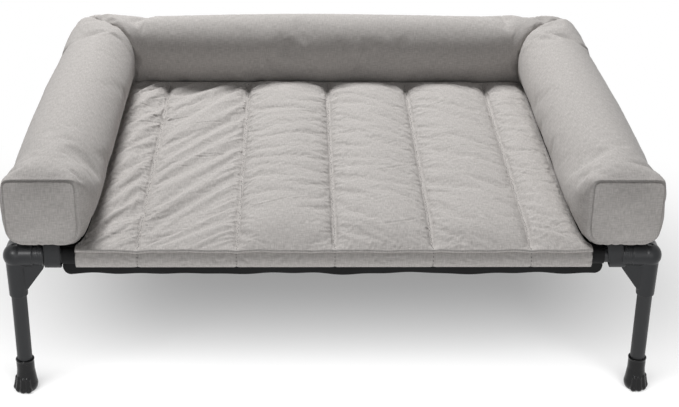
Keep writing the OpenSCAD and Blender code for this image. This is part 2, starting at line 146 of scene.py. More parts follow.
floor_paint, tree = new_material("white_floor")
seen = seen_rays(tree)
paint = add_node(tree, "ShaderNodeBsdfDiffuse", {"Color": linear(FLOOR_WHITE)})
lift = add_node(tree, "ShaderNodeMath", {0: seen, 1: FLOOR_LIFT}, operation="MULTIPLY")
glow = add_node(tree, "ShaderNodeEmission", {"Strength": lift.outputs[0]})
lifted = add_node(tree, "ShaderNodeAddShader", {0: paint.outputs[0], 1: glow.outputs[0]})
radius = add_node(tree, "ShaderNodeVectorMath", {
    0: add_node(tree, "ShaderNodeTexCoord").outputs["Object"], 1: FADE_CENTRE}, operation="DISTANCE")
fade = add_node(tree, "ShaderNodeMapRange", {
    "Value": radius.outputs["Value"], "From Min": FADE_START, "From Max": FADE_END},
    interpolation_type="SMOOTHSTEP")
fade = add_node(tree, "ShaderNodeMath", {0: fade.outputs[0], 1: seen}, operation="MULTIPLY")
white = add_node(tree, "ShaderNodeEmission")
sweep = add_node(tree, "ShaderNodeMixShader", {
    0: fade.outputs[0], 1: lifted.outputs[0], 2: white.outputs[0]})
add_node(tree, "ShaderNodeOutputMaterial", {"Surface": sweep.outputs[0]})

floor_mesh = bpy.data.meshes.new("floor")
half_floor = FLOOR_SIZE / 2
floor_mesh.from_pydata(
    [(-half_floor, -half_floor, 0), (half_floor, -half_floor, 0),
     (half_floor, half_floor, 0), (-half_floor, half_floor, 0)], [], [(0, 1, 2, 3)])
floor_mesh.materials.append(floor_paint)
floor = link_piece("floor", floor_mesh)

world = bpy.data.worlds.new("studio")
world.use_nodes = True
tree = world.node_tree
tree.nodes.clear()
sky_level = add_node(tree, "ShaderNodeMapRange", {
    "Value": seen_rays(tree), "To Min": SKY_STRENGTH, "To Max": 1.0})
sky = add_node(tree, "ShaderNodeBackground", {"Color": (1, 1, 1, 1), "Strength": sky_level.outputs[0]})
add_node(tree, "ShaderNodeOutputWorld", {"Surface": sky.outputs[0]})
bpy.context.scene.world = world

lamp_reach = {}
for name, lamp in LAMPS.items():
    lamp_data = bpy.data.lights.new(name, "AREA")
    lamp_data.shape = "RECTANGLE"
    lamp_data.size, lamp_data.size_y = lamp["size"]
    lamp_data.energy = lamp["watts"]
    lamp_object = bpy.data.objects.new(name, lamp_data)
    lamp_object.location = lamp["place"]
    aim = LAMP_AIM - lamp_object.location
    lamp_object.rotation_euler = aim.to_track_quat("-Z", "Y").to_euler()
    bpy.context.scene.collection.objects.link(lamp_object)
    reach = bpy.data.collections.new(name + "_reach")
    if lamp["floor"]:
        reach.objects.link(floor)
        reach.collection_objects[0].light_linking.link_state = lamp["floor"]
    lamp_object.light_linking.receiver_collection = reach
    lamp_reach[name] = reach


# Rails and legs: 19 mm steel tubes, powder coated black and pushed into the corner fittings.
# The coat is baked on as a powder, so it is satin, with a faint orange peel.
MM = 0.001
STEEL_BLACK = "#262729"
PEEL, PEEL_DEPTH = 1.1 * MM, 0.15 * MM
SCUFF = 16.667 * MM
CORNERS = [end + "_" + side for end in ("front", "back") for side in ("left", "right")]

powder_coat, tree = new_material("black_powder_coat")
place = add_node(tree, "ShaderNodeTexCoord").outputs["Object"]
peel = add_node(tree, "ShaderNodeTexNoise", {"Vector": place, "Scale": 1 / PEEL, "Detail": 2.0})
peel_bump = add_node(tree, "ShaderNodeBump", {
    "Height": peel.outputs["Fac"], "Strength": 0.12, "Distance": PEEL_DEPTH})
scuffs = add_node(tree, "ShaderNodeTexNoise", {"Vector": place, "Scale": 1 / SCUFF, "Detail": 5.0})
gloss = add_node(tree, "ShaderNodeMapRange", {
    "Value": scuffs.outputs["Fac"], "To Min": 0.36, "To Max": 0.52})
coat = add_node(tree, "ShaderNodeBsdfPrincipled", {
    "Base Color": linear(STEEL_BLACK), "Roughness": gloss.outputs[0], "Specular IOR Level": 0.4,
    "Normal": peel_bump.outputs[0]})
add_node(tree, "ShaderNodeOutputMaterial", {"Surface": coat.outputs[0]})

RAILS = [side + "_rail" for side in ("front", "back", "left", "right")]
for name in RAILS + [corner + "_leg" for corner in CORNERS]:
    nodes[name].material_slots[0].material = powder_coat

rail_low, rail_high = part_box("front_rail")
tube_r = (rail_high.z - rail_low.z) / 2
rail_z = (rail_high.z + rail_low.z) / 2
front_y = (rail_high.y + rail_low.y) / 2
back_y = sum(corner.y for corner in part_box("back_rail")) / 2
side_x = sum(corner.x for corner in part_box("right_rail")) / 2


# Corner fittings: three-way elbows moulded in black nylon, with gussets under the rail sockets.
# A moulding has no sharp edge, so the solid is remeshed finely and its edges are eased.
# Nylon from a plain steel mould is satin, with a faint grain and slow changes of gloss.
NYLON_BLACK = "#242527"
NYLON_GRAIN, NYLON_GRAIN_DEPTH = 0.7 * MM, 0.12 * MM
MOULD_FLOW = 28.571 * MM
FITTING_VOXEL = 0.65 * MM
FITTING_EASING = 4
SAME_POINT = 0.001 * MM

nylon, tree = new_material("moulded_nylon")
place = add_node(tree, "ShaderNodeTexCoord").outputs["Object"]
grain = add_node(tree, "ShaderNodeTexNoise", {"Vector": place, "Scale": 1 / NYLON_GRAIN, "Detail": 3.0})
grain_bump = add_node(tree, "ShaderNodeBump", {
    "Height": grain.outputs["Fac"], "Strength": 0.18, "Distance": NYLON_GRAIN_DEPTH})
flow = add_node(tree, "ShaderNodeTexNoise", {"Vector": place, "Scale": 1 / MOULD_FLOW, "Detail": 4.0})
gloss = add_node(tree, "ShaderNodeMapRange", {
    "Value": flow.outputs["Fac"], "To Min": 0.28, "To Max": 0.42})
moulding = add_node(tree, "ShaderNodeBsdfPrincipled", {
    "Base Color": linear(NYLON_BLACK), "Roughness": gloss.outputs[0], "Specular IOR Level": 0.3,
    "Normal": grain_bump.outputs[0]})
add_node(tree, "ShaderNodeOutputMaterial", {"Surface": moulding.outputs[0]})


def finished(piece):
    """Turns a piece and its modifiers into a plain mesh."""
    evaluated = piece.evaluated_get(bpy.context.evaluated_depsgraph_get())
    mesh = bpy.data.meshes.new_from_object(evaluated)
    piece.modifiers.clear()
    piece.data = mesh
    return piece


def moulded_copy(node, name, voxel, easing, material):
    """A copy of a solid with its edges and inner corners rounded, as a moulding has them."""
    form = bmesh.new()
    form.from_mesh(nodes[node].data)
    bmesh.ops.remove_doubles(form, verts=form.verts, dist=SAME_POINT)
    mesh = bpy.data.meshes.new(name)
    form.to_mesh(mesh)
    form.free()
    piece = link_piece(name, mesh)
    remesh = piece.modifiers.new("remesh", "REMESH")
    remesh.mode = "VOXEL"
    remesh.voxel_size = voxel
    remesh.use_smooth_shade = True
    smooth = piece.modifiers.new("ease", "SMOOTH")
    smooth.factor = 0.5
    smooth.iterations = easing
    finished(piece)
    piece.data.materials.clear()
    piece.data.materials.append(material)
    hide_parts(node)
    return piece


for corner in CORNERS:
    fitting = moulded_copy(
        corner + "_corner", corner + "_fitting", FITTING_VOXEL, FITTING_EASING, nylon)
    lamp_reach["gloss_lamp"].objects.link(fitting)
    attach(fitting, "frame")


# Feet: black rubber boots in the shape of a paw, pushed onto the leg ends.
# Rubber from a polished mould is a little glossy on the toes and duller where it is handled.
RUBBER_BLACK = "#161617"
FOOT_VOXEL = 0.6 * MM
FOOT_EASING = 7
DUST = 11.111 * MM
PORE, PORE_DEPTH = 0.8 * MM, 0.1 * MM

rubber, tree = new_material("moulded_rubber")
place = add_node(tree, "ShaderNodeTexCoord").outputs["Object"]
dust = add_node(tree, "ShaderNodeTexNoise", {"Vector": place, "Scale": 1 / DUST, "Detail": 5.0})
gloss = add_node(tree, "ShaderNodeMapRange", {
    "Value": dust.outputs["Fac"], "To Min": 0.14, "To Max": 0.26})
pores = add_node(tree, "ShaderNodeTexNoise", {"Vector": place, "Scale": 1 / PORE, "Detail": 2.0})
pore_bump = add_node(tree, "ShaderNodeBump", {
    "Height": pores.outputs["Fac"], "Strength": 0.1, "Distance": PORE_DEPTH})
boot = add_node(tree, "ShaderNodeBsdfPrincipled", {
    "Base Color": linear(RUBBER_BLACK), "Roughness": gloss.outputs[0], "Specular IOR Level": 0.25,
    "Normal": pore_bump.outputs[0]})
add_node(tree, "ShaderNodeOutputMaterial", {"Surface": boot.outputs[0]})

for corner in CORNERS:
    paw = moulded_copy(corner + "_foot", corner + "_paw", FOOT_VOXEL, FOOT_EASING, rubber)
    lamp_reach["gloss_lamp"].objects.link(paw)
    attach(paw, corner + "_leg")


# Sling: a panel of black coated mesh, stretched between four sleeves that slip over the rails.
# Each sleeve ends below its rail in a sewn hem, which waves a little and is cut round at its ends.
# The threads are bands of Blender's wave texture, which lie 0.314 apart at a scale of 1.
SLING_BLACK = "#0C0C0D"
SLING_THICK = 1.2 * MM
SLEEVE_EASE = 0.3 * MM
SLING_SAG = 3 * MM
HEM_END_R = 10 * MM
HEM_END_STEPS = 10
HEM_WAVE = 1.3 * MM
SLING_THREAD, SLING_THREAD_DEPTH = 1.4 * MM, 0.3 * MM
BAND_SPACING = 0.314
SLEEVE_STEP = 5 * MM
SLEEVE_TURNS = 28
HEM_ROWS = 8

sling_cloth, tree = new_material("coated_mesh")
place = add_node(tree, "ShaderNodeTexCoord").outputs["Object"]
threads = [
    add_node(tree, "ShaderNodeTexWave", {"Vector": place, "Scale": BAND_SPACING / SLING_THREAD},
             wave_type="BANDS", bands_direction=direction)
    for direction in ("X", "Y", "Z")]
crossed = add_node(tree, "ShaderNodeMath", {
    0: threads[0].outputs["Fac"], 1: threads[1].outputs["Fac"]}, operation="MULTIPLY")
mesh_height = add_node(tree, "ShaderNodeMath", {
    0: crossed.outputs[0], 1: threads[2].outputs["Fac"]}, operation="ADD")
mesh_bump = add_node(tree, "ShaderNodeBump", {
    "Height": mesh_height.outputs[0], "Strength": 0.35, "Distance": SLING_THREAD_DEPTH})
sling_shader = add_node(tree, "ShaderNodeBsdfPrincipled", {
    "Base Color": linear(SLING_BLACK), "Roughness": 0.62, "Specular IOR Level": 0.2,
    "Normal": mesh_bump.outputs[0]})
add_node(tree, "ShaderNodeOutputMaterial", {"Surface": sling_shader.outputs[0]})


def grid_mesh(name, rows, material, closed=False):
    """A mesh of quads through rows of points, with a UV map in metres along the rows and across them."""
    points = np.array(rows, float)
    count, width = points.shape[:2]
    mesh = bpy.data.meshes.new(name)
    last = width if closed else width - 1
    faces = [(j * width + k, j * width + (k + 1) % width,
              (j + 1) * width + (k + 1) % width, (j + 1) * width + k)
             for j in range(count - 1) for k in range(last)]
    mesh.from_pydata(points.reshape(-1, 3).tolist(), [], faces)
    steps = np.linalg.norm(np.diff(points, axis=1), axis=2).mean(0)
    across = np.concatenate([[0], np.cumsum(steps)])
    along = np.concatenate([[0], np.cumsum(np.linalg.norm(np.diff(points, axis=0), axis=2).mean(1))])
    closing = np.linalg.norm(points[:, 0] - points[:, -1], axis=1).mean()
    across = np.append(across, across[-1] + closing)
    j, k = np.divmod(np.arange((count - 1) * last), last)
    uv = np.stack([across[np.stack([k, k + 1, k + 1, k])],
                   along[np.stack([j, j, j + 1, j + 1])]], axis=-1)
    mesh.uv_layers.new(name="cloth").data.foreach_set("uv", uv.swapaxes(0, 1).ravel())
    mesh.polygons.foreach_set("use_smooth", [True] * len(mesh.polygons))
    mesh.materials.append(material)
    return mesh


def thickened(piece, thickness):
    """Gives a sheet its thickness, half to each side."""
    solid = piece.modifiers.new("thickness", "SOLIDIFY")
    solid.thickness = thickness
    solid.offset = 0
    return finished(piece)


sleeve_mid_r = tube_r + SLEEVE_EASE + SLING_THICK / 2
hem_reach = rail_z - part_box("front_sleeve")[0].z


def sleeve(name, node, along, centre, phase):
    """A sleeve round one rail: from the hem up round the tube and down to the hem again."""
    low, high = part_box(node)
    half = abs((high - low).dot(along)) / 2
    outward = along.cross(Vector((0, 0, 1)))
    rows, girths = [], []
    ends = half - HEM_END_R * (1 - np.cos(np.linspace(0, math.pi / 2, HEM_END_STEPS)))
    middle = np.linspace(-ends[-1], ends[-1], int(2 * half / SLEEVE_STEP))
    for t in np.concatenate([-ends[:-1], middle, ends[-2::-1]]):
        short = max(0, HEM_END_R - half + abs(t))
        drop = hem_reach - HEM_END_R + math.sqrt(max(0, HEM_END_R ** 2 - short ** 2))
        drop += HEM_WAVE * (0.8 + 0.6 * math.sin(t * 47 + phase) + 0.4 * math.sin(t * 113 + 2 * phase))
        sway = HEM_WAVE * (math.sin(t * 36 + 3 * phase) + 0.5 * math.sin(t * 91 + phase))
        section = []
        for side in (1, -1):
            hem = [(side * SLING_THICK / 2 + sway * h, -sleeve_mid_r - (drop - sleeve_mid_r) * h)
                   for h in np.linspace(1, 0.06, HEM_ROWS)]
            section.append(hem if side > 0 else hem[::-1])
        turn = [(sleeve_mid_r * math.sin(a), -sleeve_mid_r * math.cos(a))
                for a in np.linspace(0, 2 * math.pi, SLEEVE_TURNS + 1)][1:-1]
        section = section[0] + turn + section[1]
        girths.append(sum(math.dist(a, b) for a, b in zip(section, section[1:])))
        rows.append([centre + along * t + outward * q + Vector((0, 0, z)) for q, z in section])
    piece = link_piece(name, grid_mesh(name, rows, sling_cloth))
    thickened(piece, SLING_THICK)
    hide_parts(node)
    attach(piece, "frame")


middle_y = (front_y + back_y) / 2
sleeve("front_sling_sleeve", "front_sleeve", Vector((1, 0, 0)), Vector((0, front_y, rail_z)), 0.4)
sleeve("back_sling_sleeve", "back_sleeve", Vector((-1, 0, 0)), Vector((0, back_y, rail_z)), 1.7)
sleeve("left_sling_sleeve", "left_sleeve", Vector((0, -1, 0)), Vector((-side_x, middle_y, rail_z)), 2.9)
sleeve("right_sling_sleeve", "right_sleeve", Vector((0, 1, 0)), Vector((side_x, middle_y, rail_z)), 4.1)

PANEL_CELLS = 60
panel_low, panel_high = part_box("sling_panel")
sleeve_inset = side_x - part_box("front_sleeve")[1].x
rows = []
for v in np.linspace(-1, 1, PANEL_CELLS + 1):
    row = []
    for u in np.linspace(-1, 1, PANEL_CELLS + 1):
        sag = SLING_SAG * (1 - u ** 4) * (1 - v ** 4)
        row.append((panel_high.x * u, middle_y + (panel_high.y - middle_y) * v,
                    panel_high.z - SLING_THICK / 2 - sag))
    rows.append(row)
panel_mesh = grid_mesh("sling_sheet", rows, sling_cloth)
trim = bmesh.new()
trim.from_mesh(panel_mesh)
cut = [f for f in trim.faces if min(
    math.hypot(abs(f.calc_center_median().x) - side_x, f.calc_center_median().y - y)
    for y in (front_y, back_y)) < sleeve_inset]
bmesh.ops.delete(trim, geom=cut, context="FACES")
panel_area = sum(f.calc_area() for f in trim.faces)
trim.to_mesh(panel_mesh)
trim.free()
panel = thickened(link_piece("sling_sheet", panel_mesh), SLING_THICK)
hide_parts("sling_panel")
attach(panel, "frame")


# Straps: loops of dark grey woven elastic, sewn under the bolsters and slipped under the rails.
# Webbing has ribs across it and a tight edge.
# At rest a loop is slack, hangs a little under its rail and leans out.
WEBBING_GREY, WEBBING_DARK = "#303133", "#252628"
WEBBING_RIB, WEBBING_RIB_DEPTH = 1.6 * MM, 0.3 * MM
WEBBING_FLECK = 2 * MM
STRAP_THICK = 1.5 * MM
STRAP_EASE = 0.3 * MM
STRAP_COLUMNS = 8
STRAP_TURNS = 20
STRAP_LEAN = {"left": 0.5 * MM, "right": 5 * MM}

webbing, tree = new_material("woven_elastic")
cloth_uv = add_node(tree, "ShaderNodeUVMap", uv_map="cloth").outputs[0]
ribs = add_node(tree, "ShaderNodeTexWave", {"Vector": cloth_uv, "Scale": BAND_SPACING / WEBBING_RIB},
                wave_type="BANDS", bands_direction="Y")
rib_bump = add_node(tree, "ShaderNodeBump", {
    "Height": ribs.outputs["Fac"], "Strength": 0.5, "Distance": WEBBING_RIB_DEPTH})
flecks = add_node(tree, "ShaderNodeTexNoise", {
    "Vector": cloth_uv, "Scale": 1 / WEBBING_FLECK, "Detail": 3.0})
web_colour = add_node(tree, "ShaderNodeMix", {
    "Factor": flecks.outputs["Fac"], 6: linear(WEBBING_DARK), 7: linear(WEBBING_GREY)}, data_type="RGBA")
web_shader = add_node(tree, "ShaderNodeBsdfPrincipled", {
    "Base Color": web_colour.outputs[2], "Roughness": 0.8, "Sheen Weight": 0.2,
    "Normal": rib_bump.outputs[0]})
add_node(tree, "ShaderNodeOutputMaterial", {"Surface": web_shader.outputs[0]})

strap_mid_r = tube_r + STRAP_EASE + STRAP_THICK / 2
for corner in CORNERS:
    node = corner + "_strap"
    end, side = corner.split("_")
    low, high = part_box(node)
    rail_y = front_y if end == "front" else back_y
    turn = [(-strap_mid_r * math.cos(a), -strap_mid_r * math.sin(a))
            for a in np.linspace(0, math.pi, STRAP_TURNS)]
    turn_z = low.z + STRAP_THICK / 2 + strap_mid_r
    top = high.z - turn_z
    route = [(-strap_mid_r, top), (-strap_mid_r, top / 2), *turn,
             (strap_mid_r, top / 2), (strap_mid_r, top)]
    lean = STRAP_LEAN[side] * np.sign(high.x)
    rows = [[(x + lean * (1 - z / top), rail_y + q, turn_z + z)
             for x in np.linspace(low.x, high.x, STRAP_COLUMNS + 1)] for q, z in route]
    loop_mesh = grid_mesh(corner + "_loop", rows, webbing)
    strap = thickened(link_piece(corner + "_loop", loop_mesh), STRAP_THICK)
    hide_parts(node)
    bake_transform(strap)


# Bolsters: tubes of grey woven polyester, blown full of fibre, mitred at the back corners.
# The side bolsters end at the front in a boxed panel, seamed along its edges.
# The cloth is matt, with slubs along both threads. Its weave is drawn coarser so that it shows.
CLOTH_GREY = "#C4C0BD"
CLOTH_SHADE = "#AAA6A3"
CLOTH_THREAD, CLOTH_THREAD_DEPTH = 1.3 * MM, 0.2 * MM
SLUB = (1.1 * MM, 9.0 * MM)
BOLSTER_REACH, BOLSTER_OVERHANG = 20 * MM, 10.5 * MM
END_W, END_H, END_RISE, END_OFFSET = 86 * MM, 80 * MM, 7.5 * MM, 4 * MM
END_SQUARE_TOP, END_SQUARE_LOW = 14.0, 6.0
END_BULGE, END_EASE = 6 * MM, 95 * MM
BOLSTER_W, BOLSTER_H, BOLSTER_SQUARE = 106 * MM, 106 * MM, 2.6
BOLSTER_SWELL, BOLSTER_FLAT = 1.5 * MM, 3 * MM
MITRE_LEN, MITRE_ROUND, MITRE_PINCH, MITRE_SHARPNESS = 75 * MM, 0.22, 0.07, 8
MITRE_GAP = 0.4 * MM
SECTION_POINTS = 88
PANEL_RINGS = 12
MITRE_RINGS = 20
BOLSTER_STEP = 4.5 * MM
SEAM_STEP = 0.9 * MM
SEAM_SINK = np.array((1.6, 2.8)) * MM
SEAM_ROOM = 3
PANEL_WAVE = 0.6 * MM
BOLSTER_GROWTH = 0.06
BOLSTER_PRESSURE = 3.0
BOLSTER_BENDING = 2.0
BOLSTER_CAP = 6 * MM
BOLSTER_SLACK = 0.12
MITRE_SLACK, MITRE_SLACK_REACH = 0.8, 45 * MM
END_SLACK, END_SLACK_REACH = 0.5, 22 * MM
BOLSTER_JITTER_MM = 0.2
SETTLE_FRAMES = 20

pad_cloth, tree = new_material("woven_polyester")
cloth_uv = add_node(tree, "ShaderNodeUVMap", uv_map="cloth").outputs[0]
warp, weft = [
    add_node(tree, "ShaderNodeTexWave", {
        "Vector": cloth_uv, "Scale": BAND_SPACING / CLOTH_THREAD, "Distortion": 0.6,
        "Detail": 1.0, "Detail Scale": 2.0}, wave_type="BANDS", bands_direction=direction)
    for direction in ("X", "Y")]
weave = add_node(tree, "ShaderNodeMath", {
    0: warp.outputs["Fac"], 1: weft.outputs["Fac"]}, operation="MAXIMUM")
weave_bump = add_node(tree, "ShaderNodeBump", {
    "Height": weave.outputs[0], "Strength": 0.22, "Distance": CLOTH_THREAD_DEPTH})
slubs = []
for length, width in (SLUB, SLUB[::-1]):
    stretch = add_node(tree, "ShaderNodeMapping", {
        "Vector": cloth_uv, "Scale": (1 / length, 1 / width, 1.0)})
    slubs.append(add_node(tree, "ShaderNodeTexNoise", {
        "Vector": stretch.outputs[0], "Scale": 1.0, "Detail": 3.0}))
slub = add_node(tree, "ShaderNodeMath", {
    0: slubs[0].outputs["Fac"], 1: slubs[1].outputs["Fac"]}, operation="ADD")
tone = add_node(tree, "ShaderNodeMapRange", {
    "Value": slub.outputs[0], "From Min": 0.78, "From Max": 1.25})
cloth_colour = add_node(tree, "ShaderNodeMix", {
    "Factor": tone.outputs[0], 6: linear(CLOTH_SHADE), 7: linear(CLOTH_GREY)}, data_type="RGBA")
cloth_shader = add_node(tree, "ShaderNodeBsdfPrincipled", {
    "Base Color": cloth_colour.outputs[2], "Roughness": 0.88, "Sheen Weight": 0.12,
    "Sheen Roughness": 0.4, "Specular IOR Level": 0.25, "Normal": weave_bump.outputs[0]})
add_node(tree, "ShaderNodeOutputMaterial", {"Surface": cloth_shader.outputs[0]})

pad_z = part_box("left_bolster")[0].z
mid_z = pad_z + BOLSTER_H / 2 - BOLSTER_FLAT
bolster_front_y = front_y - BOLSTER_REACH
bolster_x = side_x + BOLSTER_OVERHANG - BOLSTER_W / 2
bolster_back_y = back_y + BOLSTER_OVERHANG - BOLSTER_W / 2
side_len = bolster_back_y - bolster_front_y


def rounded_step(t):
    """A quarter-circle rise from 0 to 1."""
    t = np.clip(t, 0, 1)
    return np.sqrt(1 - (1 - t) ** 2)


def section_size(form):
    """Half width, half height, rise and shares of the boxed end at a distance from the front."""
    share = rounded_step(form / END_EASE)
    swell = BOLSTER_SWELL * math.sin(math.pi * np.clip(form / side_len, 0, 1))
    half_w = (END_W + (BOLSTER_W - END_W) * share) / 2 + swell
    half_h = (END_H + (BOLSTER_H - END_H) * share) / 2
    return half_w, half_h, END_RISE * (1 - share), share


def section_points(half_w, half_h, share):
    """Points at even steps round a bolster's section: boxed at the front, round further back."""
    points = []
    for quarter in range(4):
        turn = (quarter + np.linspace(0, 1, 600)) * math.pi / 2
        boxed = END_SQUARE_TOP if quarter < 2 else END_SQUARE_LOW
        power = 2 / (boxed + (BOLSTER_SQUARE - boxed) * share)
        across, height = [half * np.sign(wave) * np.abs(wave) ** power
                          for half, wave in ((half_w, np.cos(turn)), (half_h, np.sin(turn)))]
        length = np.concatenate([[0], np.cumsum(np.hypot(np.diff(across), np.diff(height)))])
        even = np.linspace(0, length[-1], SECTION_POINTS // 4 + 1)[:-1]
        points.append(np.stack([np.interp(even, length, side) for side in (across, height)], axis=1))
    return np.concatenate(points).T


def bolster_ring(s, form, lean, scale=1.0):
    """One ring of a bolster, as rows of along, across and height. The boxed end's rings are
    scaled, and bulge."""
    half_w, half_h, rise, share = section_size(form)
    across, height = section_points(half_w, half_h, share)
    bulge = (1 - (scale * across / half_w) ** 2) * (1 - (scale * height / half_h) ** 2) * (scale < 1)
    pinch = scale * (1 - MITRE_PINCH * abs(lean) ** MITRE_SHARPNESS)
    across = pinch * np.where(across > 0, across * (1 - MITRE_ROUND * lean ** 2), across)
    height = np.maximum(mid_z + rise + pinch * height, pad_z)
    along = s + lean * across - END_BULGE * bulge
    return np.stack([along, across + END_OFFSET * (1 - share), height], axis=1)


def mitre_rings(tip, way):
    """The rings of a bend into a mitre: way is 1 for the far end and -1 for the near one."""
    return [bolster_ring(way * (tip - (1 - m) * MITRE_LEN), side_len / 2, way * m)
            for m in np.linspace(0, 1, MITRE_RINGS)]


def side_rings():
    """The rings of a side bolster, from the middle of its boxed end to its mitre."""
    tip = side_len - MITRE_GAP
    straight = np.arange(BOLSTER_STEP, tip - MITRE_LEN - BOLSTER_STEP / 2, BOLSTER_STEP)
    scales = np.append(np.linspace(0.01, 0.95, PANEL_RINGS - 1), 0.985)
    rings = [bolster_ring(0, 0, 0, scale) for scale in scales]
    rings += [bolster_ring(s, s, 0) for s in (0, SEAM_STEP, *straight)]
    return rings + mitre_rings(tip, 1)


def back_rings():
    """The rings of the back bolster, from mitre to mitre."""
    tip = bolster_x - MITRE_GAP
    straight = tip - MITRE_LEN - BOLSTER_STEP / 2
    middle = [bolster_ring(s, side_len / 2, 0) for s in np.arange(-straight, straight, BOLSTER_STEP)]
    return mitre_rings(tip, -1)[::-1] + middle + mitre_rings(tip, 1)


def left_place(ring):
    """A side bolster's ring, put on the left."""
    return np.stack([-bolster_x - ring[:, 1], bolster_front_y + ring[:, 0], ring[:, 2]], axis=1)


def right_place(ring):
    """A side bolster's ring, put on the right."""
    return left_place(ring) * (-1, 1, 1)


def back_place(ring):
    """The back bolster's ring, put across the back."""
    return np.stack([ring[:, 0], bolster_back_y + ring[:, 1], ring[:, 2]], axis=1)


def weight_points(piece, name, weights):
    """A vertex group that holds a weight for each point, in steps of a twentieth."""
    group = piece.vertex_groups.new(name=name)
    steps = np.round(np.clip(weights, 0, 1) * 20).astype(int)
    for step in range(1, 21):
        group.add(np.nonzero(steps == step)[0].tolist(), step / 20, "REPLACE")


def points_of(mesh):
    """The mesh's points as rows."""
    points = np.zeros(len(mesh.vertices) * 3)
    mesh.vertices.foreach_get("co", points)
    return points.reshape(-1, 3)


def settle(piece, held, slack, growth, pressure, bending, cap, drift=None):
    """Runs a filled cover as cloth. Held points stay, and slack is each point's share of the
    cloth's growth. With a drift the cloth is laid out shifted by it, and its held points are
    then drawn back to their places."""
    start = points_of(piece.data)
    if drift is not None:
        piece.data.vertices.foreach_set("co", (start + drift).ravel())
        piece.shape_key_add(name="laid out")
        drawn = piece.shape_key_add(name="drawn back")
        drawn.data.foreach_set("co", start.ravel())
        for share, number in ((0, 1), (1, round(0.6 * SETTLE_FRAMES))):
            drawn.value = share
            drawn.keyframe_insert("value", frame=number)
    weight_points(piece, "held", held)
    weight_points(piece, "tight", 1 - slack)
    cloth = piece.modifiers.new("cloth", "CLOTH")
    settings = cloth.settings
    settings.quality = 6
    settings.mass = 0.15
    settings.tension_stiffness = settings.compression_stiffness = 25
    settings.shear_stiffness = 8
    settings.bending_stiffness = bending
    settings.tension_damping = settings.compression_damping = settings.shear_damping = 8
    settings.bending_damping = 0.5
    settings.air_damping = 3
    settings.vertex_group_mass = "held"
    settings.vertex_group_shrink = "tight"
    settings.shrink_min = -growth
    settings.shrink_max = 0
    settings.use_pressure = True
    settings.uniform_pressure_force = pressure
    settings.effector_weights.gravity = 0
    cloth.point_cache.frame_start = 1
    cloth.point_cache.frame_end = SETTLE_FRAMES
    for number in range(1, SETTLE_FRAMES + 1):
        bpy.context.scene.frame_set(number)
    moved = points_of(piece.evaluated_get(bpy.context.evaluated_depsgraph_get()).data)
    piece.modifiers.clear()
    piece.vertex_groups.clear()
    if drift is not None:
        piece.shape_key_clear()
    bpy.context.scene.frame_set(1)
    shift = moved - start
    length = np.linalg.norm(shift, axis=1, keepdims=True)
    shift *= np.minimum(1, cap / np.maximum(length, 1e-9))
    piece.data.vertices.foreach_set("co", (start + shift).ravel())
    piece.data.update()


def closed_form(mesh):
    """Closes a mesh's open ends and turns its faces outwards."""
    form = bmesh.new()
    form.from_mesh(mesh)
    bmesh.ops.holes_fill(form, edges=form.edges, sides=0)
    bmesh.ops.recalc_face_normals(form, faces=form.faces)
    form.to_mesh(mesh)
    form.free()


bolsters = (("left", side_rings(), left_place), ("back", back_rings(), back_place),
            ("right", side_rings(), right_place))
for number, (name, rings, put) in enumerate(bolsters):
    mesh = grid_mesh(name + "_cushion", [put(ring) for ring in rings], pad_cloth, closed=True)
    if name != "back":
        layer = mesh.uv_layers["cloth"].data
        for polygon in mesh.polygons[:PANEL_RINGS * SECTION_POINTS]:
            for loop in polygon.loop_indices:
                layer[loop].uv = mesh.vertices[mesh.loops[loop].vertex_index].co.xz
    closed_form(mesh)
    bolster = link_piece(name + "_cushion", mesh)
    points = points_of(mesh)
    ring_of = np.repeat(np.arange(len(rings)), SECTION_POINTS)
    to_mitre = (len(rings) - 1 - ring_of) * BOLSTER_STEP
    if name == "back":
        to_mitre = np.minimum(to_mitre, ring_of * BOLSTER_STEP)
    slack = BOLSTER_SLACK + MITRE_SLACK * np.exp(-to_mitre / MITRE_SLACK_REACH)
    held = (points[:, 2] < pad_z + 0.2 * MM) | (ring_of == len(rings) - 1)
    if name == "back":
        held |= ring_of == 0
    else:
        from_seam = np.maximum(ring_of - PANEL_RINGS, 0) * BOLSTER_STEP
        slack += END_SLACK * np.exp(-from_seam / END_SLACK_REACH) * (ring_of > PANEL_RINGS)
        held |= ring_of < PANEL_RINGS + SEAM_ROOM
        x, z = points[:, 0], points[:, 2]
        uneven = np.sin(70 * x + 45 * z + number) + 0.6 * np.sin(150 * z - 60 * x)
        points[:, 1] -= PANEL_WAVE * uneven * np.maximum(0, 1 - (ring_of / (PANEL_RINGS - 1)) ** 4)
    rng = np.random.default_rng(20 + number)
    jitter = rng.uniform(-BOLSTER_JITTER_MM, BOLSTER_JITTER_MM, points.shape) * MM
    jitter[held] = 0
    mesh.vertices.foreach_set("co", (points + jitter).ravel())
    settle(bolster, held.astype(float), slack, BOLSTER_GROWTH, BOLSTER_PRESSURE,
           BOLSTER_BENDING, BOLSTER_CAP)
    if name != "back":
        points = points_of(mesh)
        seam = ring_of == PANEL_RINGS
        middle = points[seam].mean(0)
        inward = middle - points[seam]
        inward /= np.linalg.norm(inward, axis=1, keepdims=True)
        points[seam] += SEAM_SINK[0] * inward + (0, SEAM_SINK[1], 0)
        mesh.vertices.foreach_set("co", points.ravel())
        mesh.update()
    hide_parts(name + "_bolster", name + "_bolster_fill")
    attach(bolster, "pad")


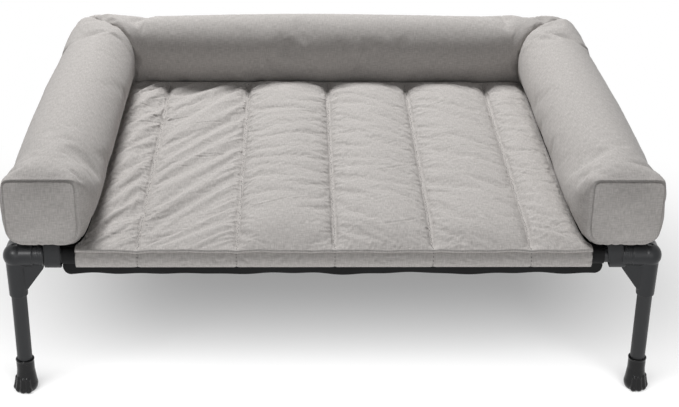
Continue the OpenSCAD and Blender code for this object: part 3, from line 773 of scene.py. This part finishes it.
# Mattress: two layers of the same cloth over fibre, sewn through in six channels.
# The seams gather the cloth, so short puckers leave them on both sides and long drag lines run between.
# Its front edge is a corded lip, with small gathers behind it.
# The creases' pitch, length, depth and width are in millimetres, and their turn is in degrees.
SEAM_PITCH = 120 * MM
SEAM_COUNT = 5
SEAM_RISE, CHANNEL_RISE, CHANNEL_FULLNESS = 0.5 * MM, 7 * MM, 0.6
EDGE_T, FRONT_EASE, BACK_EASE, SIDE_EASE = 17 * MM, 70 * MM, 80 * MM, 0.14
MATTRESS_GAP = 1 * MM
BORDER_H = 24 * MM
BORDER_BULGE = 3 * MM
LIP_ROLL = np.array(((2.8, -4.4), (0.6, -4.7), (-1.2, -3.7), (-1.9, -2.1), (-1.2, -0.6))) * MM
LIP_WAVE, LIP_DIP_W, LIP_WAVE_REACH = 0.5 * MM, 6 * MM, 12 * MM
LIP_LEAD = 8 * MM
CLOTH_STEP = 3 * MM
GATHER_REACH, GATHER_BASE = 18 * MM, 0.22
LIP_HOLD, LIP_HOLD_REACH = 0.7, 15 * MM
SEAM_DRIFT = np.array((5, 2, -3, -3, -1.5, 0, 1)) * MM
MATTRESS_GROWTH = 0.065
MATTRESS_PRESSURE = 1.6
MATTRESS_BENDING = 0.7
MATTRESS_CAP = 12 * MM
MATTRESS_JITTER_MM = 0.25
SEAM_PUCKER = {"pitch": (5, 11), "turn": (10, 48), "length": (8, 24),
               "depth": (0.5, 1.5), "width": (1.0, 1.6)}
EDGE_PUCKER = {"pitch": (5, 11), "turn": (10, 48), "length": (14, 42),
               "depth": (0.6, 1.8), "width": (1.1, 1.8)}
LIP_GATHER = {"pitch": (5, 12), "turn": (-25, 25), "length": (6, 16),
              "depth": (0.3, 1.0), "width": (1.1, 1.8)}
DRAG_LINE = {"turn": (8, 36), "length": (40, 95), "depth": (0.4, 1.1), "width": (1.2, 2.0)}
DRAGS_IN_CHANNEL = (10, 10, 7, 5, 5, 6)
SEAM_GROOVE, SEAM_GROOVE_W = 2.6 * MM, 1.9 * MM
SEAM_VALLEY, SEAM_VALLEY_W = 3 * MM, 8 * MM
SEAM_RUN_OUT = 12 * MM

border_low, border_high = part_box("front_border")
lip_y = border_low.y + BORDER_BULGE
lip_z = border_low.z + BORDER_H
half_seams = (SEAM_COUNT - 1) // 2


def flank(form):
    """Half width of a bolster at the height of the mattress's edge."""
    half_w, half_h, rise, share = section_size(form)
    square = END_SQUARE_LOW + (BOLSTER_SQUARE - END_SQUARE_LOW) * share
    off = abs(pad_z + EDGE_T - mid_z - rise) / half_h
    return half_w * max(0, 1 - off ** square) ** (1 / square) - END_OFFSET * (1 - share)


mattress_back_y = bolster_back_y - flank(side_len / 2) - MATTRESS_GAP


def top_half_width(y):
    """Half the width of the mattress between the bolsters. In front of them it is as wide as
    its border."""
    between = bolster_x - flank(max(y - bolster_front_y, LIP_LEAD)) - MATTRESS_GAP
    in_front = np.clip((bolster_front_y + LIP_LEAD - y) / LIP_LEAD, 0, 1)
    return between + (border_high.x - between) * in_front


def mattress_top(x, y, half):
    """Height of the mattress's top: low along its edges, crowned between the seams."""
    front = math.sin(math.pi / 2 * np.clip((y - lip_y) / FRONT_EASE, 0, 1))
    back = rounded_step((mattress_back_y - y) / BACK_EASE)
    side = rounded_step((half - np.abs(x)) / (half * SIDE_EASE))
    wave = np.abs(np.sin(math.pi * (x / SEAM_PITCH + half_seams))) ** CHANNEL_FULLNESS
    base = lip_z + (pad_z + EDGE_T - lip_z) * front
    return base + front * back * side * (SEAM_RISE + CHANNEL_RISE * wave)


def lip_wave(x):
    """Unevenness of the front edge, which dips a little at each seam."""
    uneven = np.sin(x * 61 + 0.7) + 0.6 * np.sin(x * 143 + 2.1)
    dip = np.exp(-(np.abs((x / SEAM_PITCH + 0.5) % 1 - 0.5) * SEAM_PITCH / LIP_DIP_W) ** 2)
    return LIP_WAVE * (uneven - 2 * dip)


channel_cells = round(SEAM_PITCH / CLOTH_STEP)
edge_cells = round((top_half_width(0) - half_seams * SEAM_PITCH) / CLOTH_STEP)
inner_cells = half_seams * channel_cells
inner_x = np.arange(-inner_cells, inner_cells + 1) * SEAM_PITCH / channel_cells
row_count = round((mattress_back_y - lip_y) / CLOTH_STEP)


def column_places(half):
    """Where the columns of the mattress's cloth lie across it, with one on each seam."""
    outer = np.linspace(half_seams * SEAM_PITCH, half, edge_cells + 1)[1:]
    return np.concatenate([-outer[::-1], inner_x, outer])


lip_x = column_places(top_half_width(lip_y))
top_rows = [
    np.stack([lip_x, np.full_like(lip_x, lip_y + back), lip_z + up + lip_wave(lip_x)], axis=1)
    for back, up in LIP_ROLL]
for y in np.linspace(lip_y, mattress_back_y, row_count + 1):
    x = column_places(top_half_width(y))
    near_lip = np.exp(-(y - lip_y) / LIP_WAVE_REACH)
    height = mattress_top(x, y, top_half_width(y)) + near_lip * lip_wave(x)
    top_rows.append(np.stack([x, np.full_like(x, y), height], axis=1))
mattress_mesh = grid_mesh("channel_mattress", top_rows, pad_cloth)
mattress = link_piece("channel_mattress", mattress_mesh)

width = len(lip_x)
points = points_of(mattress_mesh)
column = np.tile(np.arange(width), len(top_rows))
row = np.repeat(np.arange(len(top_rows)), width)
seam_columns = [edge_cells + i * channel_cells for i in range(SEAM_COUNT)]
sewn_columns = [0] + seam_columns + [width - 1]
held = np.isin(column, sewn_columns) | (row <= len(LIP_ROLL)) | (row == len(top_rows) - 1)
from_front = np.clip((points[:, 1] - lip_y) / (mattress_back_y - lip_y), 0, 1)
from_left = column / (width - 1)
seam_lines = np.stack([points[column == sewn, 0] for sewn in sewn_columns], axis=1)
from_seam = np.abs(points[:, :1] - seam_lines[row]).min(1)
slack = GATHER_BASE + (1 - GATHER_BASE) * np.exp(-from_seam / GATHER_REACH)
slack *= (0.6 + 0.4 * from_front) * (1 - 0.45 * from_left)
slack *= 1 - LIP_HOLD * np.exp(-(points[:, 1] - lip_y) / LIP_HOLD_REACH)
drift = np.zeros_like(points)
for line in range(len(top_rows)):
    drift[row == line, 1] = np.interp(points[row == line, 0], seam_lines[line], SEAM_DRIFT)
rng = np.random.default_rng(11)
jitter = rng.uniform(-MATTRESS_JITTER_MM, MATTRESS_JITTER_MM, len(points)) * MM
points[:, 2] += np.where(held, 0, jitter)
mattress_mesh.vertices.foreach_set("co", points.ravel())
settle(mattress, held.astype(float), slack, MATTRESS_GROWTH, MATTRESS_PRESSURE,
       MATTRESS_BENDING, MATTRESS_CAP, drift)


def doubled(rows):
    """Twice as many rows, with a smooth midpoint in every gap."""
    beyond = np.concatenate([2 * rows[:1] - rows[1:2], rows, 2 * rows[-1:] - rows[-2:-1]])
    finer = np.empty((2 * len(rows) - 1, *rows.shape[1:]))
    finer[0::2] = rows
    finer[1::2] = (9 * (beyond[1:-2] + beyond[2:-1]) - beyond[:-3] - beyond[3:]) / 16
    return finer


def crease(kind, place, heading, way, strength):
    """A crease of a kind: where it starts, its angle, length, depth, width and bow."""
    length, depth, width = [rng.uniform(*kind[size]) * MM for size in ("length", "depth", "width")]
    angle = heading + way * math.radians(rng.uniform(*kind["turn"]))
    return *place, angle, length, depth * strength, width, rng.uniform(-0.12, 0.12)


def creases_along(kind, line, heading, way, strength):
    """Creases that leave a line of places at uneven steps."""
    run = np.concatenate([[0], np.cumsum(np.hypot(*np.diff(line, axis=0).T))])
    made, at = [], rng.uniform(*kind["pitch"]) * MM
    while at < run[-1]:
        place = [np.interp(at, run, line[:, axis]) for axis in (0, 1)]
        made.append(crease(kind, place, heading, way, strength(*place)))
        at += rng.uniform(*kind["pitch"]) * MM
    return made


def crease_height(u, v, creases, tapered=True):
    """Height of creases over a sheet with even rows v and columns u: a furrow between two soft
    ridges. A tapered crease is deepest where it starts, any other one in its middle."""
    height = np.zeros_like(u)
    for at_u, at_v, angle, length, depth, width, bow in creases:
        reach = length + 4 * width
        near = np.ix_(np.abs(v[:, v.shape[1] // 2] - at_v) < reach,
                      np.abs(u[len(u) // 2] - at_u) < 1.3 * reach)
        off_u, off_v = u[near] - at_u, v[near] - at_v
        run = (off_u * math.cos(angle) + off_v * math.sin(angle)) / length
        inside = np.clip(run, 0, 1)
        off = off_v * math.cos(angle) - off_u * math.sin(angle)
        off -= 4 * bow * length * inside * (1 - inside)
        if tapered:
            share = np.clip((run + 0.15) / 0.3, 0, 1) * (1 - inside)
        else:
            share = np.sin(math.pi * inside) ** 0.8
        height[near] -= depth * share * (1 - (off / width) ** 2) * np.exp(-(off / width) ** 2 / 2)
    return height


def crease_strength(x, y):
    """The cloth is gathered most at the left and at the back."""
    across = 0.8 - 0.4 * x / (2 * top_half_width(0))
    return across * np.interp(y, (lip_y, mattress_back_y), (0.7, 1.0))


top_points = points_of(mattress_mesh).reshape(len(top_rows), width, 3)
top_points = doubled(doubled(top_points).swapaxes(0, 1)).swapaxes(0, 1)
lip_rows = 2 * len(LIP_ROLL)
x, y = top_points[:, :, 0], top_points[:, :, 1]
fine_columns = [2 * column for column in sewn_columns]
puckers = []
for number, column in enumerate(fine_columns):
    kind = EDGE_PUCKER if number in (0, SEAM_COUNT + 1) else SEAM_PUCKER
    line = top_points[lip_rows + 8:-4, column, :2]
    if number <= SEAM_COUNT:
        puckers += creases_along(kind, line, 0, 1, crease_strength)
    if number > 0:
        puckers += creases_along(kind, line, math.pi, -1, crease_strength)
lip_line = top_points[lip_rows, 4:-4, :2]
puckers += creases_along(LIP_GATHER, lip_line, math.pi / 2, 1, lambda x, y: 1)
drags = []
for count, near, far in zip(DRAGS_IN_CHANNEL, fine_columns, fine_columns[1:]):
    for _ in range(count):
        start_row = rng.integers(lip_rows + 12, len(top_points) - 40)
        start = top_points[start_row, rng.integers(near, (near + far) // 2), :2]
        drags.append(crease(DRAG_LINE, start, 0, 1, crease_strength(*start)))
height = crease_height(x, y, puckers) + crease_height(x, y, drags, tapered=False)
from_seam = np.abs(x[:, :, None] - x[:, fine_columns][:, None, :]).min(2)
valley = SEAM_GROOVE * np.exp(-(from_seam / SEAM_GROOVE_W) ** 2)
valley += SEAM_VALLEY * np.exp(-(from_seam / SEAM_VALLEY_W) ** 2)
valley *= np.clip((y - lip_y) / SEAM_RUN_OUT, 0, 1) * np.clip((mattress_back_y - y) / SEAM_RUN_OUT, 0, 1)
height -= valley
height[:lip_rows + 1] = height[-1] = height[:, 0] = height[:, -1] = 0
outward = np.cross(np.gradient(top_points, axis=1), np.gradient(top_points, axis=0))
outward /= np.linalg.norm(outward, axis=2, keepdims=True)
top_points = top_points + outward * height[:, :, None]
mattress_mesh = grid_mesh("channel_mattress", top_points, pad_cloth)
mattress.data = mattress_mesh

form = bmesh.new()
form.from_mesh(mattress_mesh)
rim = [edge for edge in form.edges if edge.is_boundary]
skirt = bmesh.ops.extrude_edge_only(form, edges=rim)["geom"]
for vertex in skirt:
    if isinstance(vertex, bmesh.types.BMVert):
        vertex.co.z = pad_z
form.to_mesh(mattress_mesh)
form.free()
closed_form(mattress_mesh)
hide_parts("mattress", "mattress_fill")
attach(mattress, "pad")


# Front border: the boxed edge of the mattress, a strip of cloth over wadding.
# It hangs over the front rail, is sewn under the lip, and has a seam at each channel.
BORDER_ROWS = 15
GROOVE_DEPTH = 1.2 * MM
BORDER_DROP = 1.5 * MM
BORDER_CREASE = {"turn": (-70, 70), "length": (8, 22), "depth": (0.3, 0.9), "width": (1.2, 2.4)}
BORDER_CREASES = 130

border_back_y = border_high.y
face = np.linspace(0, 1, BORDER_ROWS)
border_top, border_foot = lip_z - 3.6 * MM, border_low.z - BORDER_DROP
section = [(lip_y + 2 * MM - (BORDER_BULGE + 2 * MM) * math.sin(math.pi * t) ** 0.7,
            border_top + (border_foot - border_top) * t) for t in face]
section += [(lip_y + 5 * MM, border_low.z), (border_back_y - 4 * MM, border_low.z),
            (border_back_y, border_low.z + 3 * MM), (border_back_y, lip_z - 9 * MM),
            (lip_y + 6 * MM, lip_z - 4 * MM)]
rows = [np.stack([np.full(len(section), x), *np.array(section).T], axis=1) for x in lip_x]
for line, x in zip(rows, lip_x):
    line[:BORDER_ROWS, 2] += lip_wave(x) * (1 - face)
border_points = np.array(rows)
border_points[seam_columns, :BORDER_ROWS, 1] += GROOVE_DEPTH
border_points = doubled(border_points)
u, v = border_points[:, 1:BORDER_ROWS - 1, 0].T, border_points[:, 1:BORDER_ROWS - 1, 2].T
wrinkles = []
for _ in range(BORDER_CREASES):
    start = (rng.uniform(border_low.x, border_high.x), rng.uniform(border_foot, border_top))
    wrinkles.append(crease(BORDER_CREASE, start, 0, 1, 1))
border_points[:, 1:BORDER_ROWS - 1, 1] -= crease_height(u, v, wrinkles, tapered=False).T
border_mesh = grid_mesh("border_strip", border_points, pad_cloth, closed=True)
closed_form(border_mesh)
border = link_piece("border_strip", border_mesh)
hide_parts("front_border")
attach(border, "pad")


# Stitches: lockstitch in a dark grey thread, down each channel and down the border's seams.
# Polyester thread has a slight sheen. A stitch is drawn thicker than its 0.4 mm so that it shows.
STITCH_PITCH = 4.2 * MM
STITCH_LENGTH = 3.0 * MM
STITCH_THICK = 0.7 * MM
STITCH_PROUD = 0.35 * MM
# The thread's dark grey is partly painted shade: it stands in for the shade in each seam's valley, so
# the seams read as dark lines.
THREAD_GREY_WITH_SEAM_SHADE = "#393735"
THREAD_GLINT = 1.111 * MM

thread, tree = new_material("polyester_thread_seam_shade")
sheen = add_node(tree, "ShaderNodeTexNoise", {
    "Vector": add_node(tree, "ShaderNodeTexCoord").outputs["Object"], "Scale": 1 / THREAD_GLINT})
thread_gloss = add_node(tree, "ShaderNodeMapRange", {
    "Value": sheen.outputs["Fac"], "To Min": 0.5, "To Max": 0.75})
thread_shader = add_node(tree, "ShaderNodeBsdfPrincipled", {
    "Base Color": linear(THREAD_GREY_WITH_SEAM_SHADE), "Roughness": thread_gloss.outputs[0]})
add_node(tree, "ShaderNodeOutputMaterial", {"Surface": thread_shader.outputs[0]})

stitching = bpy.data.node_groups.new("stitching", "GeometryNodeTree")
stitching.is_modifier = True
stitching.interface.new_socket("Geometry", in_out="INPUT", socket_type="NodeSocketGeometry")
size_inputs = {}
for label in ("Pitch", "Length", "Thickness"):
    size_inputs[label] = stitching.interface.new_socket(
        label, in_out="INPUT", socket_type="NodeSocketFloat")
stitching.interface.new_socket("Geometry", in_out="OUTPUT", socket_type="NodeSocketGeometry")
given = add_node(stitching, "NodeGroupInput")
curve = add_node(stitching, "GeometryNodeMeshToCurve", {"Mesh": given.outputs["Geometry"]})
spaced = add_node(stitching, "GeometryNodeResampleCurve", {
    "Curve": curve.outputs[0], "Length": given.outputs["Pitch"]}, mode="LENGTH")
tangent = add_node(stitching, "GeometryNodeInputTangent")
aligned = add_node(stitching, "FunctionNodeAlignRotationToVector", {
    "Vector": tangent.outputs[0]}, axis="Y")
bead = add_node(stitching, "GeometryNodeMeshIcoSphere", {"Radius": 0.5, "Subdivisions": 1})
bead_size = add_node(stitching, "ShaderNodeCombineXYZ", {
    "X": given.outputs["Thickness"], "Y": given.outputs["Length"], "Z": given.outputs["Thickness"]})
sewn = add_node(stitching, "GeometryNodeInstanceOnPoints", {
    "Points": spaced.outputs[0], "Instance": bead.outputs[0], "Rotation": aligned.outputs[0],
    "Scale": bead_size.outputs[0]})
real = add_node(stitching, "GeometryNodeRealizeInstances", {"Geometry": sewn.outputs[0]})
dyed = add_node(stitching, "GeometryNodeSetMaterial", {"Geometry": real.outputs[0], "Material": thread})
add_node(stitching, "NodeGroupOutput", {"Geometry": dyed.outputs[0]})

seam_points, seam_edges = [], []
for column in fine_columns[1:-1]:
    lines = (top_points[lip_rows + 2:-4, column] + (0, 0, STITCH_PROUD),
             border_points[column, 1:BORDER_ROWS - 1] - (0, STITCH_PROUD, 0))
    for line in lines:
        first = len(seam_points)
        seam_points += line.tolist()
        seam_edges += [(first + i, first + i + 1) for i in range(len(line) - 1)]
stitch_mesh = bpy.data.meshes.new("seam_stitches")
stitch_mesh.from_pydata(seam_points, seam_edges, [])
stitches = link_piece("seam_stitches", stitch_mesh)
sewing = stitches.modifiers.new("stitching", "NODES")
sewing.node_group = stitching
for label, value in (("Pitch", STITCH_PITCH), ("Length", STITCH_LENGTH), ("Thickness", STITCH_THICK)):
    sewing[size_inputs[label].identifier] = value
finished(stitches)
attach(stitches, "pad")
